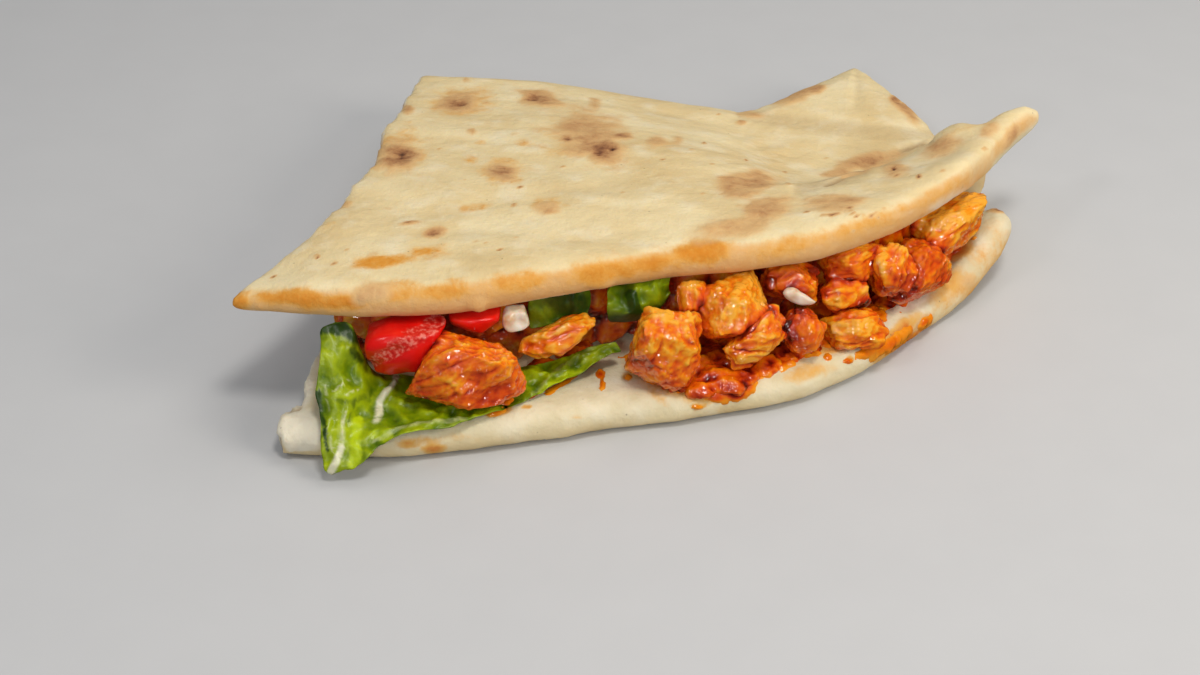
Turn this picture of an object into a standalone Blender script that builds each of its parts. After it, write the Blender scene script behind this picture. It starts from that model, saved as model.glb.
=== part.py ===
"""Half of a folded flatbread panini: chicken in red sauce, lettuce and tomato between two leaves.

The bread is one round flatbread, folded at the back and tucked in at the back right corner, and cut
across at the left, so that the front arc is its own baked rim. Lengths are in millimetres and are
turned to metres when an object is made. X runs along the opening, Y runs back to the fold, Z is up.
"""

import math
import random

import bmesh
import bpy
import numpy as np
from mathutils import Euler, Vector, noise

MM = 0.001
GAP = 0.35

# The middle of the footprint in the plan below, which becomes the origin
PLAN_CENTRE = Vector((16.0, 34.31, 0.0))

# Bread sheet
LEAF_THICK = 7.5
RIM_THICK = 9.0
FOLD_THICK = 6.6
NOSE_REACH = 4.5
RIM_WIDTH = 16.0
RIM_FADE = 10.0
RIM_SLANT = 0.85
FOLD_FADE = 14.0
FOLD_BULGE = 6.5
EDGE_LEAST = 0.34
CUT_SHARE = 0.93

# How finely the sheet is built: columns along the back, the tucked side and the free tip, and fold steps
BACK_COLUMNS = 24
SIDE_COLUMNS = 11
FOLD_COLUMNS = BACK_COLUMNS + SIDE_COLUMNS
TIP_COLUMNS = 5
COLUMNS = FOLD_COLUMNS + TIP_COLUMNS
FOLD_STEPS = 4
SIDE_POINTS = 501
MERGE = 0.02
LEAF_ROWS = (1.0, 0.99, 0.972, 0.945, 0.9, 0.84, 0.76, 0.67, 0.58, 0.49, 0.4, 0.31, 0.22, 0.13, 0.06, 0.0)

# Heights of the middle of the top leaf: over the filling, at the back fold and at the tucked corner
FRONT_HEIGHT = 34.5
FOLD_HEIGHT = 18.0
CORNER_HEIGHT = 13.5
CORNER_START_X = 34.0
CORNER_SPAN = 24.0
RIDGE_RISE = 1.5
RIDGE_START_X = 40.0
RIDGE_SPAN = 50.0
DOME_BACK = ((-54, 101), (0, 93), (44, 86), (97, 60))
DOME_POWER = 1.5

# Faint swells across the top leaf
SWELL = 0.5
SWELL_WAVE = Vector((0.05, 0.16))
SWELL_END_Y = 75.0
SWELL_FADE = 40.0

# Plan of the leaves, each curve from left to right or from back to front
TOP_FRONT = ((-88, -33), (-70, -36), (-53, -37), (-34, -35.5), (-14, -30.6), (0, -25.7), (15, -20),
             (36, -17), (54, -13.5), (74, -0.5), (91, 14.5), (100, 27.5), (110, 43), (120, 55))
TOP_LEFT = ((-54, 103.5), (-56.5, 88), (-56, 77), (-60, 64), (-61.5, 52), (-59, 44), (-59.5, 36),
            (-63, 29), (-66, 12), (-71, -4), (-80, -19), (-85, -27), (-88, -33))
TOP_TIP_BACK = ((97.5, 50), (102.5, 48.5), (107.5, 53.2), (112, 56.3), (117, 58.5))
TOP_TIP_END = ((117, 58.5), (119.5, 57.4), (120, 55))
FOLD_BACK = ((-54, 103.5), (-25, 101.8), (0, 98.8), (18, 95.3), (32, 91.2), (42, 88.8), (51, 93),
             (62, 101), (76.5, 114.5))
FOLD_SIDE = ((76.5, 114.5), (80, 107), (84, 97.5), (88, 88), (92, 76), (95, 64), (97.5, 50))
BOTTOM_FRONT = ((-77, -51.5), (-65, -52.5), (-49, -53), (-39, -51.5), (-22, -48), (-8, -45), (6, -41.5),
                (21, -38.5), (35, -35), (49, -30.5), (59, -24), (68, -17), (77, -7.5), (88, 3.5),
                (97, 13), (106, 24), (111.5, 33.5))
BOTTOM_LEFT = ((-54, 103.5), (-60, 70), (-65, 32), (-69.5, -6), (-73, -26), (-72.6, -38), (-76.5, -43.5),
               (-77, -51.5))
BOTTOM_TIP_BACK = ((97.5, 50), (102.5, 47.5), (107, 43))
BOTTOM_TIP_END = ((107, 43), (110.5, 39.5), (111.5, 33.5))
TIP_CURL = 9.0
TIP_CURL_START_X = 86.0
TIP_CURL_END_Y = 58.0
TIP_CURL_SPAN = 26.0

# The valley behind the raised roll of the top leaf: how deep it falls, and where it starts and widens
VALLEY_START = Vector((34.5, 14.0))
VALLEY_DIRECTION = Vector((0.862, 0.507))
VALLEY_DEPTH = 8.0
VALLEY_LEAD = 12.0
VALLEY_LENGTH = 62.0
VALLEY_EDGE = 4.0
VALLEY_WIDTH = 12.0
VALLEY_SOFTNESS = 1.5

# The right end of that roll, which stands up free of the fold
ROLL_HEIGHT = 34.0
ROLL_START = 50.0
ROLL_SPAN = 26.0
ROLL_BACK = 14.0
ROLL_WIDTH = 18.0

# How far the top leaf thins out towards the left end of its rim
TIP_THINNING = 0.45
THINNING_START_X = -66.0
THINNING_SPAN = 20.0

# Where the loose pieces in the opening end and the packed filling starts
CORE_FRONT = ((-70, -24), (-40, -26), (-20, -21), (-8, -17), (0, -15), (15, -10.5), (35, -8), (55, 2),
              (75, 10), (84, 19), (90, 28.5))
CORE_BACK = ((-52, 88), (-25, 86), (0, 81), (20, 76), (45, 72), (68, 80), (78, 72), (86, 48))
CORE_LEFT = ((-52, 88), (-53, 77), (-57, 64), (-58, 52), (-56.5, 40), (-61, 20), (-65, 2), (-67, -12),
             (-66, -22.5))
CORE_RIGHT = ((86, 48), (90, 39), (90, 28.5))
CORE_MIDDLE = Vector((15.0, 25.0, 0.0))
CORE_COLUMNS = 24
CORE_ROWS = 14
CORE_LUMP = 1.6
CORE_LUMP_WAVE = 0.11
CORE_DENT = 3.0
CORE_DENT_WAVE = 0.13
CORE_WALL_LEAST = 3.0
CORE_WALL_LEAN = 0.01
CORE_WALL_CUTS = 2
CORE_WALL_SLOPE = 0.2

# Chicken pieces in the opening: centre, half sizes, roll and turn in degrees, and how boxy
CHICKEN = (
    ((-33.6, -39.5, 18.0), (15.2, 9.5, 10.2), 22, 10, 5.0),
    ((-9.5, -28.5, 20), (10, 4, 3.4), 16, 16, 3.0),
    ((16.2, -31, 19), (8.6, 8, 10), -20, 10, 4.5),
    ((32.4, -20.5, 23.2), (8.8, 8.2, 7.8), 4, 10, 6.0),
    ((22, -18.5, 26), (4, 5, 4.5), 0, 0, 2.5),
    ((38.3, -24.5, 16.6), (8.2, 6.3, 5.6), 22, 20, 3.0),
    ((50, -19.5, 16.3), (6, 5.5, 6), 0, 20, 2.5),
    ((49, -8, 23), (8, 6.5, 5.5), -12, 15, 3.5),
    ((62, -3, 26), (9.5, 6, 5.5), 14, 25, 3.5),
    ((61, -7.5, 18.5), (8, 4.6, 3.8), -8, 30, 3.0),
    ((63.5, -14, 12.5), (8.5, 7, 5), 4, 35, 2.5),
    ((73.4, -1.5, 22), (5.4, 6, 8.4), 0, 30, 2.5),
    ((81.2, 4.5, 17.5), (8.6, 8, 8), 0, 40, 2.6),
    ((90, 18.5, 23.2), (11.5, 6.5, 6), 14, 40, 4.0),
)
TOMATO = (
    ((-45.6, -35.5, 24), (11.3, 6, 6), 20, -6, 4.5),
    ((-29.5, -30, 27), (7, 4, 3.6), 8, 10, 3.0),
)
ONION = (
    ((-20.5, -30, 26.5), (3.6, 3, 3.6), 10, 0, 3.0),
    ((49, -16.5, 23.5), (4.2, 1.4, 1.6), -20, -10, 3.0),
)

# How a loose piece is made uneven: its size, the share and fineness of its lumps, and its flat sides
PIECE_SIZE = 1.05
PIECE_LUMPS = ((0.3, 1.3), (0.16, 3.2))
PIECE_NOISE_SPREAD = 50.0
PIECE_FLATS = 5
PIECE_FLAT_REACH = (0.78, 0.95)
PIECE_FINE_FROM = 6.0
PIECE_LEAST_EDGE = 0.05

# Pieces press on each other when their reaches add up to more than this share of their distance
NEIGHBOUR_SHARE = 0.8
PRESSINGS = 3

# The big lettuce leaf: back, middle and front edge points of its ribs, left to right
LETTUCE_RIBS = (
    ((-66.8, -34, 26), (-66.5, -49, 13.5), (-65, -59, 1.8)),
    ((-62.5, -33, 27.3), (-62.3, -48, 13), (-59.5, -59.8, 2.6)),
    ((-58.2, -33, 26), (-58, -46, 12.3), (-53.5, -58.4, 6.8)),
    ((-56.4, -31, 12), (-53.5, -44, 10.4), (-48, -55.8, 10)),
    ((-48, -31, 9.9), (-45, -42, 9.9), (-41.5, -53, 10)),
    ((-38, -30, 9.9), (-36, -40, 9.9), (-33, -50.5, 9.9)),
    ((-26, -28, 9.9), (-25, -36, 9.9), (-22.5, -44, 9.9)),
    ((-15, -27, 10.2), (-14.5, -31, 9.9), (-13.5, -37, 9.9)),
    ((-5, -23.5, 11.6), (-4.5, -26, 10.8), (-3.5, -30, 10)),
    ((4, -20.5, 14.4), (4.4, -22, 13.5), (5, -24.5, 12.4)),
)
LETTUCE_BACK = (
    ((-17, -24, 27), (-17.5, -23.6, 23), (-17, -25, 19)),
    ((-10, -22, 28), (-10.5, -22.6, 24), (-10, -23.4, 20)),
    ((-2.5, -19.5, 28), (-2.5, -20.8, 24), (-3, -21, 20)),
)
LETTUCE_CURL = (
    ((1, -18.5, 27), (1.5, -22.5, 24), (2, -19.5, 18)),
    ((7.5, -16.5, 28.3), (7.5, -23, 25), (8.5, -18.5, 17.5)),
    ((13.5, -15, 28.8), (13.5, -20.8, 27), (13.5, -18, 20)),
    ((18, -14.5, 28.8), (17.6, -16.2, 28), (17, -15.8, 23.5)),
)
LETTUCE_THICK = 0.9
LETTUCE_WAVE_FINENESS = 0.22
LETTUCE_TOP = 11.0
LETTUCE_START_X = -58.0
LETTUCE_END_X = 8.0
LETTUCE_EDGE_SHARE = 0.6

# Each leaf: its name, ribs, rows and columns of faces, height of its waves and colour
LEAVES = (
    ("lettuce_1", LETTUCE_RIBS, 9, 26, 0.9, (0.3, 0.48, 0.02)),
    ("lettuce_2", LETTUCE_BACK, 4, 8, 0.8, (0.08, 0.17, 0.02)),
    ("lettuce_3", LETTUCE_CURL, 7, 9, 0.5, (0.14, 0.3, 0.02)),
)

# The loose pieces keep clear of the upright end of the big leaf
PIECES_START_X = -55.6

# Colour and roughness of each material
BREAD_LOOK = ((0.86, 0.73, 0.48), 0.75)
CHICKEN_LOOK = ((0.78, 0.3, 0.05), 0.35)
FILLING_LOOK = ((0.55, 0.12, 0.02), 0.4)
TOMATO_LOOK = ((0.6, 0.03, 0.02), 0.25)
ONION_LOOK = ((0.85, 0.78, 0.68), 0.4)
LETTUCE_ROUGHNESS = 0.35


def smooth(value):
    """0 below 0, 1 above 1, and an even S between."""
    share = min(max(value, 0.0), 1.0)
    return share * share * (3 - 2 * share)


def soft_max(first, second, width):
    return 0.5 * (first + second + math.sqrt((first - second) ** 2 + width * width))


def curve_points(knots, count):
    """Evenly spaced points along a smooth curve through the knots."""
    knots = np.array(knots, float)
    padded = np.vstack([2 * knots[0] - knots[1], knots, 2 * knots[-1] - knots[-2]])
    dense = []
    for first, second, third, fourth in zip(padded, padded[1:], padded[2:], padded[3:]):
        for share in np.linspace(0, 1, 12, endpoint=False):
            dense.append(0.5 * (2 * second + (third - first) * share
                                + (2 * first - 5 * second + 4 * third - fourth) * share ** 2
                                + (3 * second - first - 3 * third + fourth) * share ** 3))
    dense = np.array(dense + [knots[-1]])
    reach = np.concatenate([[0], np.cumsum(np.linalg.norm(np.diff(dense, axis=0), axis=1))])
    wanted = np.linspace(0, reach[-1], count)
    return np.stack([np.interp(wanted, reach, dense[:, axis]) for axis in range(dense.shape[1])], axis=1)


def y_on(knots, x):
    """The Y of a plan curve at an X."""
    return float(np.interp(x, [knot[0] for knot in knots], [knot[1] for knot in knots]))


def sheet_thickness(x, y, front):
    """Full thickness of a leaf: a little more at the baked rim, a little less in the fold."""
    from_rim = RIM_SLANT * (y - y_on(front, x))
    from_fold = y_on(FOLD_BACK, x) - y
    thick = LEAF_THICK + (RIM_THICK - LEAF_THICK) * smooth((RIM_WIDTH - from_rim) / RIM_FADE)
    return thick + (FOLD_THICK - thick) * smooth(1 - from_fold / FOLD_FADE) * (x < FOLD_SIDE[-1][0])


def thinning(x):
    """Share of its thickness that the top leaf loses towards the left end of its rim."""
    return TIP_THINNING * smooth((THINNING_START_X - x) / THINNING_SPAN)


def top_height(x, y):
    """Height of the middle of the top leaf, which is domed over the filling and falls to the fold."""
    front = y_on(TOP_FRONT, x)
    fold = y_on(DOME_BACK, x)
    share = min(max((y - front) / (fold - front), 0.0), 1.0)
    fold_height = FOLD_HEIGHT + (CORNER_HEIGHT - FOLD_HEIGHT) * smooth((x - CORNER_START_X) / CORNER_SPAN)
    ridge = FRONT_HEIGHT + RIDGE_RISE * smooth((x - RIDGE_START_X) / RIDGE_SPAN)
    height = fold_height + (ridge - fold_height) * (1 - share ** DOME_POWER)
    from_start = Vector((x, y)) - VALLEY_START
    along = from_start.dot(VALLEY_DIRECTION)
    behind = from_start.dot(Vector((-VALLEY_DIRECTION.y, VALLEY_DIRECTION.x)))
    held_up = smooth((ROLL_BACK - behind) / ROLL_WIDTH) * smooth((along - ROLL_START) / ROLL_SPAN)
    sunk = smooth((along + VALLEY_LEAD) / VALLEY_LENGTH) * smooth((behind + VALLEY_EDGE) / VALLEY_WIDTH)
    height = soft_max(height - VALLEY_DEPTH * sunk, CORNER_HEIGHT, VALLEY_SOFTNESS)
    height = height * (1 - held_up) + ROLL_HEIGHT * held_up - thinning(x) * RIM_THICK / 2
    return height + SWELL * math.sin(SWELL_WAVE.dot(Vector((x, y)))) * smooth((SWELL_END_Y - y) / SWELL_FADE)


def bottom_height(x, y):
    """Height of the middle of the bottom leaf: its underside is flat, with the right tip curled up."""
    curl = smooth((x - TIP_CURL_START_X) / TIP_CURL_SPAN) * smooth((TIP_CURL_END_Y - y) / TIP_CURL_SPAN)
    return sheet_thickness(x, y, BOTTOM_FRONT) / 2 + TIP_CURL * curl


def upright_half(height, x, y, front):
    """Half a leaf's thickness measured upright, which is more where the leaf slopes."""
    slope_x = (height(x + 1, y) - height(x - 1, y)) / 2
    slope_y = (height(x, y + 1) - height(x, y - 1)) / 2
    return 0.5 * sheet_thickness(x, y, front) * math.sqrt(1 + slope_x ** 2 + slope_y ** 2)


def floor_at(x, y):
    """The top of the bottom leaf, or of the lettuce that lies on it, with the gap."""
    bread = bottom_height(x, y) + upright_half(bottom_height, x, y, BOTTOM_FRONT)
    return max(bread, LETTUCE_TOP if LETTUCE_START_X < x < LETTUCE_END_X else 0) + GAP


def floor_under_lettuce(x, y):
    """The lowest middle of a leaf that lies on the bottom leaf."""
    bread = bottom_height(x, y) + upright_half(bottom_height, x, y, BOTTOM_FRONT)
    return bread + GAP + LETTUCE_THICK / 2


def ceiling_at(x, y):
    """The underside of the top leaf, with the gap."""
    y = max(y, y_on(TOP_FRONT, x) + 1)
    return top_height(x, y) - upright_half(top_height, x, y, TOP_FRONT) - 2 * GAP


def coons(front, back, left, right, column, row):
    """A point of the patch spanned by four edges, by its shares from the left and from the back."""
    index = round(column * (len(front) - 1))
    depth = round(row * (len(left) - 1))
    corners = ((1 - column) * (1 - row) * back[0] + column * (1 - row) * back[-1]
               + (1 - column) * row * front[0] + column * row * front[-1])
    across = (1 - row) * back[index] + row * front[index]
    return across + (1 - column) * left[depth] + column * right[depth] - corners


def leaf_rows(front_knots, tip_knots, left_knots, right_knots, height):
    """Rows of points of one leaf, from its front edge to its back edge."""
    front = curve_points(front_knots, COLUMNS + 1)
    back = np.vstack([curve_points(FOLD_BACK, BACK_COLUMNS + 1),
                      curve_points(FOLD_SIDE, SIDE_COLUMNS + 1)[1:],
                      curve_points(tip_knots, TIP_COLUMNS + 1)[1:]])
    left, right = curve_points(left_knots, SIDE_POINTS), curve_points(right_knots, SIDE_POINTS)
    rows = []
    for row in LEAF_ROWS:
        plan = [coons(front, back, left, right, j / COLUMNS, row) for j in range(COLUMNS + 1)]
        rows.append([Vector((x, y, height(x, y))) for x, y in plan])
    return rows


def fold_rows(bottom_edge, top_edge):
    """The bend that joins the two back edges, as half a round bulging outwards."""
    rows = [bottom_edge]
    for step in range(1, FOLD_STEPS):
        turn = math.pi * step / FOLD_STEPS
        row = []
        for j, (low, high) in enumerate(zip(bottom_edge, top_edge)):
            before, after = bottom_edge[max(j - 1, 0)].xy, bottom_edge[min(j + 1, FOLD_COLUMNS)].xy
            ways = [way.normalized() for way in (low.xy - before, after - low.xy) if way.length > 0]
            outwards = Vector((before.y - after.y, after.x - before.x, 0)).normalized()
            corner = math.sqrt((1 + ways[0].dot(ways[-1])) / 2)
            point = low + outwards * FOLD_BULGE / corner * math.sin(turn)
            point.z = (low.z + high.z) / 2 - (high.z - low.z) / 2 * math.cos(turn)
            row.append(point)
        rows.append(row)
    return [*rows, top_edge]


def edge_share(distance):
    """Thickness near a rounded edge as a share of the full thickness."""
    inwards = min(distance / NOSE_REACH, 1.0)
    return max(EDGE_LEAST, math.sqrt(1 - (1 - inwards) ** 2))


def leaf_thickness(rows, i, j, front):
    """Thickness at a point of a leaf, with a rounded edge where it isn't folded or cut."""
    point = rows[i][j]
    nearest = min((point - rows[0][j]).length, (point - rows[i][-1]).length)
    if j > FOLD_COLUMNS:
        nearest = min(nearest, (point - rows[-1][j]).length)
    thick = sheet_thickness(point.x, point.y, front) * edge_share(nearest) * (CUT_SHARE if j == 0 else 1.0)
    return thick * (1 - thinning(point.x) * (front is TOP_FRONT))


def add_sheet(bm, rows, shares, group):
    """Adds a grid through rows of points, with a thickness weight at each."""
    across, deep = len(rows[0]) - 1, len(rows) - 1
    for vert in bmesh.ops.create_grid(bm, x_segments=across, y_segments=deep, size=1.0)["verts"]:
        j = round((vert.co.x + 1) / 2 * across)
        i = round((vert.co.y + 1) / 2 * deep)
        vert.co = (rows[i][j] - PLAN_CENTRE) * MM
        vert[group][0] = shares[i][j]


def new_object(name, bm, colour, roughness):
    """Makes a mesh object with its own material from a bmesh."""
    mesh = bpy.data.meshes.new(name)
    bm.to_mesh(mesh)
    bm.free()
    mesh.shade_smooth()
    obj = bpy.data.objects.new(name, mesh)
    bpy.context.scene.collection.objects.link(obj)
    material = bpy.data.materials.new(name)
    material.use_nodes = True
    shader = material.node_tree.nodes["Principled BSDF"]
    shader.inputs["Base Color"].default_value = (*colour, 1)
    shader.inputs["Roughness"].default_value = roughness
    mesh.materials.append(material)
    return obj


def thicken(obj, thickness):
    """Gives a sheet its thickness, half to each side, scaled by its weights."""
    obj.vertex_groups.new(name="thickness")
    solidify = obj.modifiers.new("Thickness", "SOLIDIFY")
    solidify.thickness = thickness * MM
    solidify.offset = 0
    solidify.vertex_group = "thickness"
    solidify.thickness_vertex_group = 0


def build_bread():
    """The folded sheet: bottom leaf, bend and top leaf."""
    bottom = leaf_rows(BOTTOM_FRONT, BOTTOM_TIP_BACK, BOTTOM_LEFT, BOTTOM_TIP_END, bottom_height)
    top = leaf_rows(TOP_FRONT, TOP_TIP_BACK, TOP_LEFT, TOP_TIP_END, top_height)
    fold = fold_rows(bottom[-1][:FOLD_COLUMNS + 1], top[-1][:FOLD_COLUMNS + 1])
    bm = bmesh.new()
    group = bm.verts.layers.deform.verify()
    for rows, front in ((bottom, BOTTOM_FRONT), (top, TOP_FRONT)):
        shares = [[leaf_thickness(rows, i, j, front) / RIM_THICK for j in range(COLUMNS + 1)]
                  for i in range(len(rows))]
        add_sheet(bm, rows, shares, group)
    add_sheet(bm, fold, [[FOLD_THICK / RIM_THICK] * (FOLD_COLUMNS + 1)] * len(fold), group)
    bmesh.ops.remove_doubles(bm, verts=bm.verts, dist=MERGE * MM)
    bmesh.ops.recalc_face_normals(bm, faces=bm.faces)
    thicken(new_object("bread", bm, *BREAD_LOOK), RIM_THICK)


def ellipsoid_reach(half_sizes, rotation, direction):
    """How far a turned ellipsoid reaches in a direction."""
    local = rotation.transposed() @ direction
    return math.sqrt(sum((local[axis] * half_sizes[axis]) ** 2 for axis in range(3)))


def build_piece(name, piece, others, look, seed):
    """An uneven torn piece, pressed flat where it meets its neighbours, the bread and the filling."""
    centre, half_sizes, roll, turn, boxy = piece
    centre = Vector(centre)
    rotation = Euler((0, -math.radians(roll), math.radians(turn))).to_matrix()
    chance = random.Random(seed)
    flats = [(Vector([chance.gauss(0, 1) for _ in range(3)]).normalized(), chance.uniform(*PIECE_FLAT_REACH))
             for _ in range(PIECE_FLATS)]
    drift = Vector([chance.uniform(-PIECE_NOISE_SPREAD, PIECE_NOISE_SPREAD) for _ in range(3)])
    walls = []
    for other in others:
        apart = Vector(other[0]) - centre
        direction = apart.normalized()
        other_rotation = Euler((0, -math.radians(other[2]), math.radians(other[3]))).to_matrix()
        own = ellipsoid_reach(half_sizes, rotation, direction)
        theirs = ellipsoid_reach(other[1], other_rotation, direction)
        if own + theirs > apart.length * NEIGHBOUR_SHARE:
            walls.append((direction, apart.length * own / (own + theirs) - GAP / 2))
    bm = bmesh.new()
    detail = 3 if max(half_sizes) > PIECE_FINE_FROM else 2
    verts = bmesh.ops.create_icosphere(bm, subdivisions=detail, radius=1.0)["verts"]
    for vert in verts:
        way = vert.co.normalized()
        size = sum(abs(part) ** boxy for part in way) ** (-1 / boxy)
        lumps = [share * noise.noise(way * fineness + drift) for share, fineness in PIECE_LUMPS]
        size *= PIECE_SIZE + sum(lumps)
        point = way * size
        for normal, limit in flats:
            point -= normal * max(0.0, point.dot(normal) - limit)
        offset = rotation @ Vector([point[axis] * half_sizes[axis] for axis in range(3)])
        for _ in range(PRESSINGS):
            for direction, limit in walls:
                offset -= direction * max(0.0, offset.dot(direction) - limit)
            place = centre + offset
            place.y = min(place.y, y_on(CORE_FRONT, place.x) - 2 * GAP)
            place.z = min(max(place.z, floor_at(place.x, place.y)), ceiling_at(place.x, place.y))
            place.x = max(place.x, PIECES_START_X)
            offset = place - centre
        vert.co = (centre + offset - PLAN_CENTRE) * MM
    bmesh.ops.dissolve_degenerate(bm, edges=bm.edges, dist=PIECE_LEAST_EDGE * MM)
    bmesh.ops.triangulate(bm, faces=bm.faces)
    new_object(name, bm, *look)


def build_pieces():
    """The chicken, tomato and onion that show in the opening."""
    kinds = (("chicken", CHICKEN, CHICKEN_LOOK), ("tomato", TOMATO, TOMATO_LOOK),
             ("onion", ONION, ONION_LOOK))
    everything = [piece for _, pieces, _ in kinds for piece in pieces]
    seed = 0
    for kind, pieces, look in kinds:
        for number, piece in enumerate(pieces, 1):
            seed += 1
            others = [other for other in everything if other is not piece]
            build_piece(f"{kind}_{number:02d}", piece, others, look, seed)


def build_filling():
    """The packed chicken behind, between the leaves, out to the cut left side."""
    front, back = curve_points(CORE_FRONT, CORE_COLUMNS + 1), curve_points(CORE_BACK, CORE_COLUMNS + 1)
    left, right = curve_points(CORE_LEFT, SIDE_POINTS), curve_points(CORE_RIGHT, SIDE_POINTS)
    bm = bmesh.new()
    base = bmesh.ops.create_grid(bm, x_segments=CORE_COLUMNS, y_segments=CORE_ROWS, size=1.0)
    for vert in base["verts"]:
        column, row = (vert.co.x + 1) / 2, (1 - vert.co.y) / 2
        x, y = coons(front, back, left, right, column, row)
        vert.co = Vector((x, y, 0))
    raised = bmesh.ops.extrude_face_region(bm, geom=bm.faces[:])["geom"]
    upper = {item for item in raised if isinstance(item, bmesh.types.BMVert)}
    for vert in bm.verts:
        x, y = vert.co.x, vert.co.y
        lump = CORE_LUMP * abs(noise.noise(Vector((x, y, 0)) * CORE_LUMP_WAVE))
        low = bottom_height(x, y) + upright_half(bottom_height, x, y, BOTTOM_FRONT) + GAP
        vert.co.z = ceiling_at(x, y) - 2 * GAP - lump if vert in upper else low
    walls = [edge for edge in bm.edges if abs(edge.verts[0].co.z - edge.verts[1].co.z) > CORE_WALL_LEAST
             and (edge.verts[0].co.xy - edge.verts[1].co.xy).length < CORE_WALL_LEAN]
    bmesh.ops.subdivide_edges(bm, edges=walls, cuts=CORE_WALL_CUTS, use_grid_fill=True)
    for vert in bm.verts:
        if vert.is_boundary or any(face.normal.z ** 2 < CORE_WALL_SLOPE for face in vert.link_faces):
            inwards = (CORE_MIDDLE - Vector((vert.co.x, vert.co.y, 0))).normalized()
            vert.co += inwards * CORE_DENT * abs(noise.noise(vert.co * CORE_DENT_WAVE))
    for vert in bm.verts:
        vert.co = (vert.co - PLAN_CENTRE) * MM
    bmesh.ops.recalc_face_normals(bm, faces=bm.faces)
    bmesh.ops.triangulate(bm, faces=bm.faces)
    new_object("chicken_filling", bm, *FILLING_LOOK)


def build_lettuce(name, ribs, rows, columns, wave, colour, seed):
    """A thin wavy leaf through its ribs."""
    ribs = np.array(ribs, float)
    lines = [curve_points(ribs[:, part], columns + 1) for part in range(3)]
    sheet = []
    for i in range(rows + 1):
        share = i / rows
        line = []
        for j in range(columns + 1):
            back, middle, front = (Vector(lines[part][j]) for part in range(3))
            bend = 2 * middle - (back + front) / 2
            point = back * (1 - share) ** 2 + bend * 2 * share * (1 - share) + front * share ** 2
            point.z += wave * abs(noise.noise(point * LETTUCE_WAVE_FINENESS + Vector((seed, 0, 0))))
            if point.y > y_on(BOTTOM_FRONT, point.x) + 1:
                point.z = max(point.z, floor_under_lettuce(point.x, point.y))
            line.append(point)
        sheet.append(line)
    bm = bmesh.new()
    group = bm.verts.layers.deform.verify()
    shares = [[LETTUCE_EDGE_SHARE if i in (0, rows) or j in (0, columns) else 1.0
               for j in range(columns + 1)] for i in range(rows + 1)]
    add_sheet(bm, sheet, shares, group)
    bmesh.ops.triangulate(bm, faces=bm.faces)
    thicken(new_object(name, bm, colour, LETTUCE_ROUGHNESS), LETTUCE_THICK)


def main():
    for obj in list(bpy.data.objects):
        bpy.data.objects.remove(obj)
    build_bread()
    build_filling()
    build_pieces()
    for seed, leaf in enumerate(LEAVES, 1):
        build_lettuce(*leaf, seed)


main()
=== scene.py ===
import math
import random

import bmesh
import bpy
import numpy as np
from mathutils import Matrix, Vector, noise
from mathutils.bvhtree import BVHTree


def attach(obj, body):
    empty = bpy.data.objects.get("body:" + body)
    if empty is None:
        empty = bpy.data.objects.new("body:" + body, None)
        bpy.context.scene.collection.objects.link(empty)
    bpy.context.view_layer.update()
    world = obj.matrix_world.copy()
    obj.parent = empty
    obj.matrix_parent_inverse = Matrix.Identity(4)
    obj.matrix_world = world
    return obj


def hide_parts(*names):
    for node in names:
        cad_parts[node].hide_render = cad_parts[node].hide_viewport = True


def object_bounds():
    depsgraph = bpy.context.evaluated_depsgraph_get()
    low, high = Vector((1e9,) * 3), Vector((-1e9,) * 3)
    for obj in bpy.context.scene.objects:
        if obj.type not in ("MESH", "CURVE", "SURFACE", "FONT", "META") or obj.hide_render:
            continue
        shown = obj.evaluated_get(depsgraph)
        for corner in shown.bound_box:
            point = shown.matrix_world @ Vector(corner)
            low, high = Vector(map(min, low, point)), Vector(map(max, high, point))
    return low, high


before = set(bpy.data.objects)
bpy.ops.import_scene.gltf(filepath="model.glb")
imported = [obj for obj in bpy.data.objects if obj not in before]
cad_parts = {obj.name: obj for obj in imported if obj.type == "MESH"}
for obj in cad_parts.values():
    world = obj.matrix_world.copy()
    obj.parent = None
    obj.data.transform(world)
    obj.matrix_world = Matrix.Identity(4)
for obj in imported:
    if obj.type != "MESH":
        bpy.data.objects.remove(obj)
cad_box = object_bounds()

# Camera and room
# The half lies on a plain pale table and is seen as in the photograph: a 60 mm lens at 35 degrees.
# Two broad fills light it evenly, and three small soft lamps give the wet sauce its glints.

PHOTO_CENTRE = (600, 337.5)
PHOTO_WIDTH = 1200
LENS_MM = 60
SENSOR_MM = 36
CAMERA_SPOT = Vector((-0.016, -0.46027, 0.29826))
CAMERA_TILT = math.radians(55)
TABLE_REACH = 4.0
# Each lamp's place, width in metres, power in watts and tint, and whether glossy things show it.
LAMPS = {
    "overhead_fill": ((0.3, 0.25, 0.8), 0.6, 1.9, "#FFF8EE", False),
    "right_fill": ((0.65, -0.35, 0.45), 0.4, 3.0, "#FFF6E8", False),
    "soft_key": ((0.1, -0.3, 0.8), 0.18, 2.4, "#FFFBF4", True),
    "soft_front": ((-0.15, -0.85, 0.5), 0.15, 1.1, "#FFFFFF", True),
    "soft_left": ((-0.4, -0.4, 0.6), 0.1, 0.45, "#FFFFFF", True),
}
LAMP_AIM = Vector((0, 0, 0.02))
ROOM_TINT = "#EDF1F7"
ROOM_STRENGTH = 0.3
scene = bpy.context.scene


def linear(hex_colour):
    """An sRGB hex colour as linear red, green, blue and alpha."""
    parts = [int(hex_colour[i:i + 2], 16) / 255 for i in (1, 3, 5)]
    return (*[p / 12.92 if p <= 0.04045 else ((p + 0.055) / 1.055) ** 2.4 for p in parts], 1.0)


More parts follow.
